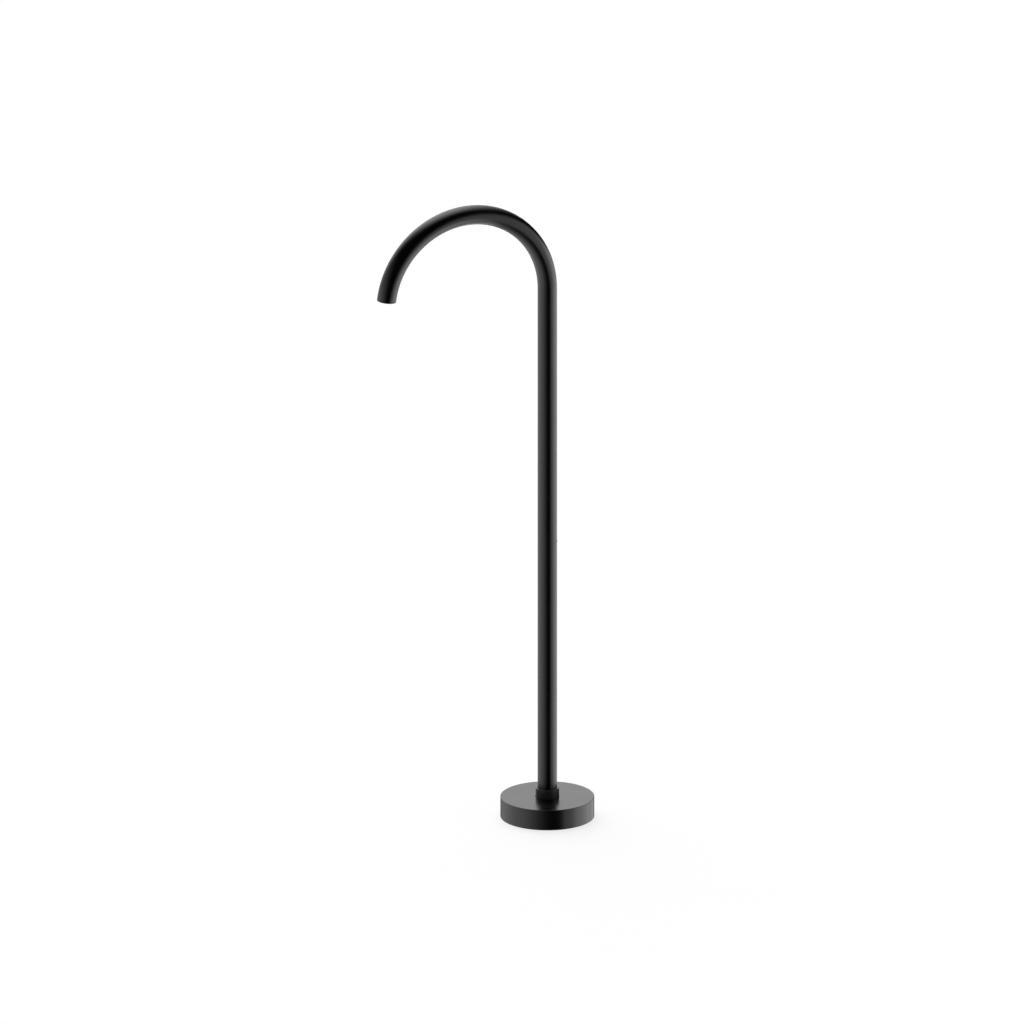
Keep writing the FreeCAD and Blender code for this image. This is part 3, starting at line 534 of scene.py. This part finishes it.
def rod(radius, low, high, sides=64):
    """A plain rod on the Z axis between two heights, used as a drill or a broach. Millimetres."""
    bpy.ops.object.select_all(action="DESELECT")
    bpy.ops.mesh.primitive_cylinder_add(vertices=sides, radius=radius * MM, depth=(high - low) * MM,
                                        location=(0, 0, (low + high) / 2 * MM))
    bpy.ops.object.transform_apply()
    return bpy.context.object


def broach_hexagon(piece, across_flats, depth, end):
    """Cuts the six-sided socket that a hexagon key fits, down from a piece's upper end."""
    cut_with(piece, rod(across_flats / math.sqrt(3), end - depth, end + PAST_FACE, sides=HEXAGON))


def saw_cross(piece, reach, width, depth, height):
    """Saws two crossed slots in a piece's lower face, which lies at a height. Millimetres."""
    for bar_size in ((3 * reach, width, 2 * depth), (width, 3 * reach, 2 * depth)):
        bpy.ops.object.select_all(action="DESELECT")
        bpy.ops.mesh.primitive_cube_add(size=MM, location=(0, 0, height * MM), scale=bar_size)
        bpy.ops.object.transform_apply()
        cut_with(piece, bpy.context.object)


# %% Helper that cuts a screw thread
# In pitches: the groove's depth, the flats at crest and root, how far the rod's crest stands clear of the
# piece, and how far below the die the rod starts. The last is no whole number, so that no cut across the
# rod meets a corner of the outline.
THREAD_DEPTH, CREST_FLAT, ROOT_FLAT, CREST_CLEARANCE, RUN_IN = 0.61, 0.125, 0.2, 0.03, 2.87
SPARE_TURNS = 6
DIE_TO_THREAD = 1.3
CLEAN_CUT = 0.0001 * MM


def cut_thread(piece, radius, pitch, low, high, steps=48):
    """Cuts a right-handed thread outside a piece between two heights. A point is drawn into the outline
    of one turn, a Screw modifier winds that outline into a long threaded rod, and the rod is taken out of
    a plug of metal, which leaves a die. The die is then taken out of the piece."""
    crest = radius / math.cos(math.pi / steps) + CREST_CLEARANCE * pitch
    depth = THREAD_DEPTH * pitch + crest - radius
    start = low - RUN_IN * pitch
    screw = start_edit(bpy.ops.mesh.primitive_plane_add, "thread", size=pitch * MM,
                       location=((crest - depth) * MM, 0, start * MM))
    bpy.ops.mesh.merge(type="CENTER")
    flank = (1 - CREST_FLAT - ROOT_FLAT) / 2
    for out, share_of_pitch in ((depth, flank), (0, CREST_FLAT), (-depth, flank), (0, ROOT_FLAT)):
        bpy.ops.mesh.extrude_vertices_move(
            TRANSFORM_OT_translate={"value": (out * MM, 0, share_of_pitch * pitch * MM)})
    bpy.ops.object.mode_set(mode="OBJECT")
    winding = screw.modifiers.new("winding", "SCREW")
    winding.screw_offset = pitch * MM
    winding.iterations = math.ceil((high - low) / pitch) + SPARE_TURNS
    winding.steps = winding.render_steps = steps
    bpy.ops.object.modifier_apply(modifier=winding.name)
    bpy.ops.object.mode_set(mode="EDIT")
    close_up(screw)
    for height, outside in ((low - pitch, "clear_inner"), (high + pitch, "clear_outer")):
        bpy.ops.mesh.select_all(action="SELECT")
        bpy.ops.mesh.bisect(plane_co=(0, 0, height * MM), plane_no=(0, 0, 1), use_fill=True,
                            threshold=CLEAN_CUT, **{outside: True})
    close_up(screw)
    bpy.ops.object.mode_set(mode="OBJECT")
    die = rod(DIE_TO_THREAD * radius, low, high)
    cut_with(die, screw)
    cut_with(piece, die)


# %% Helpers that place, repeat and dress a piece
SCREW_COUNT, FIRST_SCREW, FULL_TURN, LYING_DOWN = 4, 45, 360, 90
SMOOTH_ANGLE = 35


def place(piece, angle=0.0, move=(0, 0, 0)):
    """Turns a finished shape about the Y axis and moves it, in its mesh. Angle in degrees, move in mm."""
    make_active(piece)
    bpy.ops.object.mode_set(mode="EDIT")
    bpy.ops.mesh.select_all(action="SELECT")
    if angle:
        bpy.ops.transform.rotate(value=-math.radians(angle), orient_axis="Y", center_override=(0, 0, 0))
    bpy.ops.transform.translate(value=[distance * MM for distance in move])
    bpy.ops.object.mode_set(mode="OBJECT")


def place_on_circle(piece, circle_radius, degrees):
    """Moves a piece out to a point of a circle about the Z axis."""
    angle = math.radians(degrees)
    place(piece, move=(circle_radius * math.cos(angle), circle_radius * math.sin(angle), 0))


def repeat_screw(piece, circle_radius):
    """Moves a screw out to its circle and copies it round that circle, in one mesh."""
    place_on_circle(piece, circle_radius, FIRST_SCREW)
    bpy.ops.object.mode_set(mode="EDIT")
    for _ in range(SCREW_COUNT - 1):
        bpy.ops.mesh.duplicate()
        bpy.ops.transform.rotate(value=2 * math.pi / SCREW_COUNT, orient_axis="Z",
                                 center_override=(0, 0, 0))
    bpy.ops.object.mode_set(mode="OBJECT")


def dress(piece, finish, body, node):
    """Gives a piece its finish and smooth shading, parents it to its body's empty, hides the node that it
    stands for, and prints how many of its edges are open and how far its box is from the node's."""
    make_active(piece)
    piece.data.materials.clear()
    piece.data.materials.append(finish)
    bpy.ops.object.shade_smooth_by_angle(angle=math.radians(SMOOTH_ANGLE))
    shading = piece.modifiers.new("even_shading", "WEIGHTED_NORMAL")
    shading.keep_sharp = True
    bpy.ops.object.modifier_apply(modifier=shading.name)
    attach(piece, body)
    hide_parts(node)
    edges = bmesh.new()
    edges.from_mesh(piece.data)
    open_edges = sum(not edge.is_manifold for edge in edges.edges)
    edges.free()
    low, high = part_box(node)
    off = max(abs(min(c[i] for c in piece.bound_box) - low[i]) for i in range(3))
    off = max(off, max(abs(max(c[i] for c in piece.bound_box) - high[i]) for i in range(3)))
    print(piece.name, len(piece.data.polygons), "faces,", open_edges, "open edges, its box differs from",
          "the node's by", round(off / MM, 3), "mm")


# %% [markdown]
# ## Spout tube
# The real tube is 32 mm brass or steel tube, bent over a former in one go. By hand one would draw its
# line as a curve and give it a round bevel. Here a circle is extruded up the riser and then spun about
# the bend's centre, which is just what the bending machine does, so the arc is a true one. A Solidify
# modifier then gives the tube its wall, inwards.

# %% Bend the spout tube
TUBE_WALL = 1.5
TUBE_SIDES = 96
BEND_STEPS = 96
BEND_START = 916.0
OUTLET_ROUND, OUTLET_ROUND_SEGMENTS = 0.5, 3
ON_THE_EDGE = 0.01 * MM

tube_low, tube_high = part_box("spout_tube")
tube_radius = tube_high.x
bend_start = Vector((0, 0, BEND_START * MM))
bend_radius = tube_high.z - tube_radius - bend_start.z
bend_centre = bend_start - Vector((bend_radius, 0, 0))
bend_sweep = math.pi - math.asin((outlet.z - bend_start.z) / bend_radius)
print("bend radius:", round(bend_radius / MM, 2), "mm, sweep:", round(math.degrees(bend_sweep), 2),
      "degrees")

tube = start_edit(bpy.ops.mesh.primitive_circle_add, "bent_tube", vertices=TUBE_SIDES,
                  radius=tube_radius, location=(0, 0, tube_low.z))
bpy.ops.mesh.extrude_region_move(TRANSFORM_OT_translate={"value": (0, 0, bend_start.z - tube_low.z)})
bpy.ops.mesh.spin(steps=BEND_STEPS, angle=bend_sweep, center=bend_centre, axis=(0, 1, 0))
close_up(tube)
bpy.ops.object.mode_set(mode="OBJECT")
side = tube.data.polygons[0]
if side.normal.dot(Vector((side.center.x, side.center.y, 0))) < 0:
    tube.data.flip_normals()
tube_wall = tube.modifiers.new("tube_wall", "SOLIDIFY")
tube_wall.thickness, tube_wall.offset, tube_wall.use_even_offset = TUBE_WALL * MM, -1.0, True
bpy.ops.object.modifier_apply(modifier=tube_wall.name)
bpy.ops.object.mode_set(mode="EDIT")
pick_edges(tube, lambda co: abs((co - outlet).dot(outlet_axis)) < ON_THE_EDGE
           and abs((co - outlet).length - tube_radius) < ON_THE_EDGE)
bpy.ops.mesh.bevel(offset=OUTLET_ROUND * MM, segments=OUTLET_ROUND_SEGMENTS, affect="EDGES")
bpy.ops.object.mode_set(mode="OBJECT")
dress(tube, black_coating, "spout", "spout_tube")

# %% [markdown]
# ## Plug in the riser's back
# A small round plug closes a hole in the back of the riser. Its head stands a fraction of a millimetre
# proud. It is turned upright, like the other pieces, and then laid on its side.

# %% Turn and place the plug
SMALL_SIDES = 48
PLUG_STEM, PLUG_HEAD_DEPTH = 2.5, 1.05
plug_low, plug_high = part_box("riser_plug")
plug_radius, plug_height = (plug_high.y - plug_low.y) / 2 / MM, (plug_high.z + plug_low.z) / 2 / MM
plug_tip, plug_face = plug_low.x / MM, plug_high.x / MM
plug = lathe("back_plug", [
    (ON_AXIS, plug_tip, 0), (PLUG_STEM, plug_tip, 0.2), (PLUG_STEM, plug_face - PLUG_HEAD_DEPTH, 0),
    (plug_radius, plug_face - PLUG_HEAD_DEPTH, 0), (plug_radius, plug_face, 0.25),
    (ON_AXIS, plug_face, 0)], sides=SMALL_SIDES)
place(plug, LYING_DOWN, (0, 0, plug_height))
dress(plug, black_coating, "spout", "riser_plug")

# %% [markdown]
# ## Base cover
# The cover is a spun or turned shell: a flat top, a straight wall down to the floor and a hub round the
# hole, with a groove inside it for the ring that grips the collar. Its outline is turned in one go. The
# edge between top and wall is nearly sharp.

# %% Turn the base cover
COVER_WALL, COVER_ROUND, COVER_BORE, HUB_WALL, HUB_DEPTH = 1.5, 0.6, 19.9, 3.1, 7.0
GRIP_MARGIN, GRIP_GROOVE, COVER_SIDES = 0.15, 21.35, 192
cover_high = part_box("base_cover")[1]
cover_radius, cover_top = cover_high.x / MM, cover_high.z / MM
underside, hub_foot = cover_top - COVER_WALL, cover_top - COVER_WALL - HUB_DEPTH
grip_low, grip_high = (corner.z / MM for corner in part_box("cover_grip_ring"))
cover = lathe("round_cover", [
    (cover_radius, 0, 0.3), (cover_radius, cover_top, COVER_ROUND), (COVER_BORE, cover_top, 0.3),
    (COVER_BORE, grip_high + GRIP_MARGIN, 0.1), (GRIP_GROOVE, grip_high + GRIP_MARGIN, 0),
    (GRIP_GROOVE, grip_low - GRIP_MARGIN, 0), (COVER_BORE, grip_low - GRIP_MARGIN, 0.1),
    (COVER_BORE, hub_foot, 0.4), (COVER_BORE + HUB_WALL, hub_foot, 0.3),
    (COVER_BORE + HUB_WALL, underside, 0.8), (cover_radius - COVER_WALL, underside, 0.6),
    (cover_radius - COVER_WALL, 0, 0.3)], sides=COVER_SIDES)
dress(cover, black_coating, "cover", "base_cover")

# %% [markdown]
# ## Swivel collar
# The collar is screwed onto the floor socket and holds the spout down. What shows above the cover is a
# plain ring with a crisp top edge, and a cup inside it that the tube stands in. Out of sight, four
# notches in its lower edge take a spanner, and a threaded hole in its side takes the lock screw. The
# notches are sawn with two crossed bars, and the hole is drilled. The collar's coating is a little paler
# black than the tube's and the cover's. This is painted light: it stands in for the light that the cover's
# flat top mirrors up onto the collar.

# %% Turn the swivel collar, saw its notches and drill its hole
THREAD_BORE, NECK_BORE, CUP, WIPER_GROOVE, WIPER_GAP = 18.05, 14.1, 16.3, 17.6, 0.05
LIP_LOW, LIP_HIGH, COLLAR_ROUND = 41.6, 45.6, 0.4
NOTCH_WIDTH, NOTCH_DEPTH, RING_SIDES = 5.0, 4.0, 128
collar_low, collar_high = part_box("swivel_collar")
collar_radius, collar_foot, collar_top = collar_high.x / MM, collar_low.z / MM, collar_high.z / MM
wiper_low, wiper_high = (corner.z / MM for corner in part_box("collar_wiper_ring"))
lock_low, lock_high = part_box("collar_lock_screw")
lock_radius, lock_height = (lock_high.y - lock_low.y) / 2 / MM, (lock_high.z + lock_low.z) / 2 / MM
collar = lathe("foot_collar", [
    (collar_radius, collar_foot, 0.4), (collar_radius, collar_top, COLLAR_ROUND), (CUP, collar_top, 0.4),
    (CUP, wiper_high + WIPER_GAP, 0), (WIPER_GROOVE, wiper_high + WIPER_GAP, 0),
    (WIPER_GROOVE, wiper_low - WIPER_GAP, 0), (CUP, wiper_low - WIPER_GAP, 0),
    (CUP, LIP_HIGH, 0), (NECK_BORE, LIP_HIGH, 0.3), (NECK_BORE, LIP_LOW, 0.3),
    (THREAD_BORE, LIP_LOW, 0), (THREAD_BORE, collar_foot, 0.4)], sides=RING_SIDES)
saw_cross(collar, collar_radius, NOTCH_WIDTH, NOTCH_DEPTH, collar_foot)
drill = rod(lock_radius, THREAD_BORE / 2, 1.5 * collar_radius, sides=SMALL_SIDES)
place(drill, LYING_DOWN, (0, 0, lock_height))
cut_with(collar, drill)
dress(collar, collar_black_painted_light, "floor_mount", "swivel_collar")

# %% [markdown]
# ## Screws under the cover
# With the cover lifted, three kinds of screw show. Four grub screws stand on the floor and set the flange
# level, four cap screws hold the socket on the flange, and one small grub screw locks the collar. Each is
# turned as a blank, its thread is cut with a die, and its hexagon socket is broached. The cap screws'
# heads are knurled: every second edge of the head is drawn in a little. One screw of each kind is made,
# and then copied round its circle.

# %% Make the levelling screws
# A die runs on past the end of a blank by PAST_END. Sizes here are in millimetres, and radii unless their
# names say otherwise.
PAST_END = 0.45
LEVEL_RADIUS, LEVEL_PITCH, LEVEL_POINT, LEVEL_CHAMFER = 3.0, 1.0, 0.6, 0.4
LEVEL_HEX, LEVEL_HEX_DEPTH, LEVEL_CIRCLE_RADIUS = 3.0, 3.5, 52.0
level_low, level_high = (corner.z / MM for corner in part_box("levelling_screws"))
levelling = lathe("levelling_grub_screws", [
    (ON_AXIS, level_low, 0), (LEVEL_RADIUS - LEVEL_POINT, level_low, 0),
    (LEVEL_RADIUS, level_low + LEVEL_POINT, 0), (LEVEL_RADIUS, level_high - LEVEL_CHAMFER, 0),
    (LEVEL_RADIUS - LEVEL_CHAMFER, level_high, 0), (ON_AXIS, level_high, 0)], sides=SMALL_SIDES)
cut_thread(levelling, LEVEL_RADIUS, LEVEL_PITCH, level_low - PAST_END, level_high + PAST_END)
broach_hexagon(levelling, LEVEL_HEX, LEVEL_HEX_DEPTH, level_high)
repeat_screw(levelling, LEVEL_CIRCLE_RADIUS)
dress(levelling, screw_steel, "floor_mount", "levelling_screws")

# %% Make the cap screws
CAP_RADIUS, CAP_HEIGHT, CAP_SHANK, CAP_PITCH, CAP_POINT = 4.25, 5.0, 2.5, 0.8, 0.5
CAP_HEX, CAP_HEX_DEPTH, CAP_CIRCLE_RADIUS, CAP_PLAIN_SHANK = 4.0, 2.5, 26.0, 1.5
KNURL_EDGES, KNURL_SHRINK = 72, 0.965
cap_low, cap_high = (corner.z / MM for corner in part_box("socket_screws"))
cap_seat = cap_high - CAP_HEIGHT
cap_screws = lathe("cap_screws", [
    (ON_AXIS, cap_low, 0), (CAP_SHANK - CAP_POINT, cap_low, 0), (CAP_SHANK, cap_low + CAP_POINT, 0),
    (CAP_SHANK, cap_seat, 0), (CAP_RADIUS, cap_seat, 0.2), (CAP_RADIUS, cap_high, 0.4),
    (ON_AXIS, cap_high, 0)], sides=KNURL_EDGES)
bpy.ops.object.mode_set(mode="EDIT")
pick_edges(cap_screws, lambda co: abs(co.xy.length - CAP_RADIUS * MM) < ON_THE_EDGE
           and round(math.atan2(co.y, co.x) / (2 * math.pi) * KNURL_EDGES) % 2)
bpy.ops.transform.resize(value=(KNURL_SHRINK, KNURL_SHRINK, 1), center_override=(0, 0, cap_seat * MM))
bpy.ops.object.mode_set(mode="OBJECT")
cut_thread(cap_screws, CAP_SHANK, CAP_PITCH, cap_low - PAST_END, cap_seat - CAP_PLAIN_SHANK)
broach_hexagon(cap_screws, CAP_HEX, CAP_HEX_DEPTH, cap_high)
repeat_screw(cap_screws, CAP_CIRCLE_RADIUS)
dress(cap_screws, screw_steel, "floor_mount", "socket_screws")

# %% Make the lock screw
LOCK_PITCH, LOCK_POINT, LOCK_CHAMFER, LOCK_HEX, LOCK_HEX_DEPTH = 0.7, 0.4, 0.3, 2.0, 1.6
lock_tip, lock_end = lock_low.x / MM, lock_high.x / MM
lock_screw = lathe("lock_grub_screw", [
    (ON_AXIS, lock_tip, 0), (lock_radius - LOCK_POINT, lock_tip, 0),
    (lock_radius, lock_tip + LOCK_POINT, 0), (lock_radius, lock_end - LOCK_CHAMFER, 0),
    (lock_radius - LOCK_CHAMFER, lock_end, 0), (ON_AXIS, lock_end, 0)], sides=SMALL_SIDES)
cut_thread(lock_screw, lock_radius, LOCK_PITCH, lock_tip - PAST_END, lock_end + PAST_END)
broach_hexagon(lock_screw, LOCK_HEX, LOCK_HEX_DEPTH, lock_end)
place(lock_screw, LYING_DOWN, (0, 0, lock_height))
dress(lock_screw, screw_steel, "floor_mount", "collar_lock_screw")

# %% [markdown]
# ## Floor socket
# The socket is turned from brass bar: a pilot that sits in the flange, a foot with four screw holes and a
# column with the thread that the collar screws on to. Its inside steps down from the bore that the
# spigot seals in, through the waterway and the strainer's recess, to the inlet. The shape is turned in
# one go, the column's thread is cut with the die and the holes are drilled.

# %% Turn the floor socket, thread its column and drill it
INLET, STRAINER_RECESS, WATERWAY, SEAL_BORE = 9.3, 8.75, 7.5, 12.0
PILOT, FOOT, COLUMN, COLUMN_PITCH, COLUMN_PLAIN_FOOT = 16.9, 33.0, 17.95, 1.5, 1.2
INLET_DEPTH, RECESS_DEPTH, WATERWAY_LENGTH, FOOT_THICKNESS = 13.0, 2.5, 2.5, 6.0
BORE_CHAMFER, SCREW_CLEARANCE, COLUMN_THREAD_STEPS = 0.8, 0.25, 96
socket_low, socket_top = (corner.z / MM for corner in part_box("floor_socket"))
foot_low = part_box("floor_flange")[1].z / MM
foot_high = foot_low + FOOT_THICKNESS
inlet_end = socket_low + INLET_DEPTH
recess_end = inlet_end + RECESS_DEPTH
bore_floor = recess_end + WATERWAY_LENGTH
socket = lathe("threaded_socket", [
    (INLET, socket_low, 0.4), (PILOT, socket_low, 0.4), (PILOT, foot_low, 0), (FOOT, foot_low, 0.2),
    (FOOT, foot_high, 0.8), (COLUMN, foot_high, 0), (COLUMN, socket_top, 0.8),
    (SEAL_BORE + BORE_CHAMFER, socket_top, 0), (SEAL_BORE, socket_top - BORE_CHAMFER, 0),
    (SEAL_BORE, bore_floor, 0), (WATERWAY, bore_floor, 0.3), (WATERWAY, recess_end, 0),
    (STRAINER_RECESS, recess_end, 0), (STRAINER_RECESS, inlet_end, 0), (INLET, inlet_end, 0)],
    sides=RING_SIDES)
cut_thread(socket, COLUMN, COLUMN_PITCH, foot_high + COLUMN_PLAIN_FOOT, socket_top + PAST_END,
           steps=COLUMN_THREAD_STEPS)
for hole in range(SCREW_COUNT):
    drill = rod(CAP_SHANK + SCREW_CLEARANCE, foot_low - PAST_FACE, foot_high + PAST_FACE,
                sides=SMALL_SIDES)
    place_on_circle(drill, CAP_CIRCLE_RADIUS, FIRST_SCREW + FULL_TURN / SCREW_COUNT * hole)
    cut_with(socket, drill)
drill = rod(lock_radius, lock_tip, 2 * COLUMN, sides=SMALL_SIDES)
place(drill, LYING_DOWN, (0, 0, lock_height))
cut_with(socket, drill)
dress(socket, turned_brass, "floor_mount", "floor_socket")

# %% [markdown]
# ## Aerator housing
# The aerator's shell has a fine thread outside, and four slots in its rim for the key that screws it in.
# It is turned and threaded upright, with the rim at the bottom as it hangs, and then swung and moved to
# the outlet, whose axis leans a few degrees.

# %% Turn the aerator housing and hang it in the outlet
HOUSING, HOUSING_BORE, HOUSING_SEAT, HOUSING_LENGTH, SEAT_DEPTH = 11.92, 10.25, 9.2, 9.0, 5.7
HOUSING_PITCH, HOUSING_PLAIN_RIM, HOUSING_RECESS = 1.0, 1.0, 1.0
KEY_WIDTH, KEY_DEPTH, HOUSING_SIDES, HOUSING_THREAD_STEPS = 2.5, 1.2, 96, 72
housing = lathe("aerator_shell", [
    (HOUSING_SEAT, 0, 0.3), (HOUSING, 0, 0.4), (HOUSING, HOUSING_LENGTH, 0.2),
    (HOUSING_BORE, HOUSING_LENGTH, 0.15), (HOUSING_BORE, HOUSING_LENGTH - SEAT_DEPTH, 0),
    (HOUSING_SEAT, HOUSING_LENGTH - SEAT_DEPTH, 0)], sides=HOUSING_SIDES)
cut_thread(housing, HOUSING, HOUSING_PITCH, HOUSING_PLAIN_RIM, HOUSING_LENGTH + PAST_END,
           steps=HOUSING_THREAD_STEPS)
saw_cross(housing, HOUSING, KEY_WIDTH, KEY_DEPTH, 0)
lean = math.degrees(math.atan2(-outlet_axis.x, -outlet_axis.z))
place(housing, lean, (outlet - outlet_axis * HOUSING_RECESS * MM) / MM)
dress(housing, aerator_metal, "aerator", "aerator_housing")
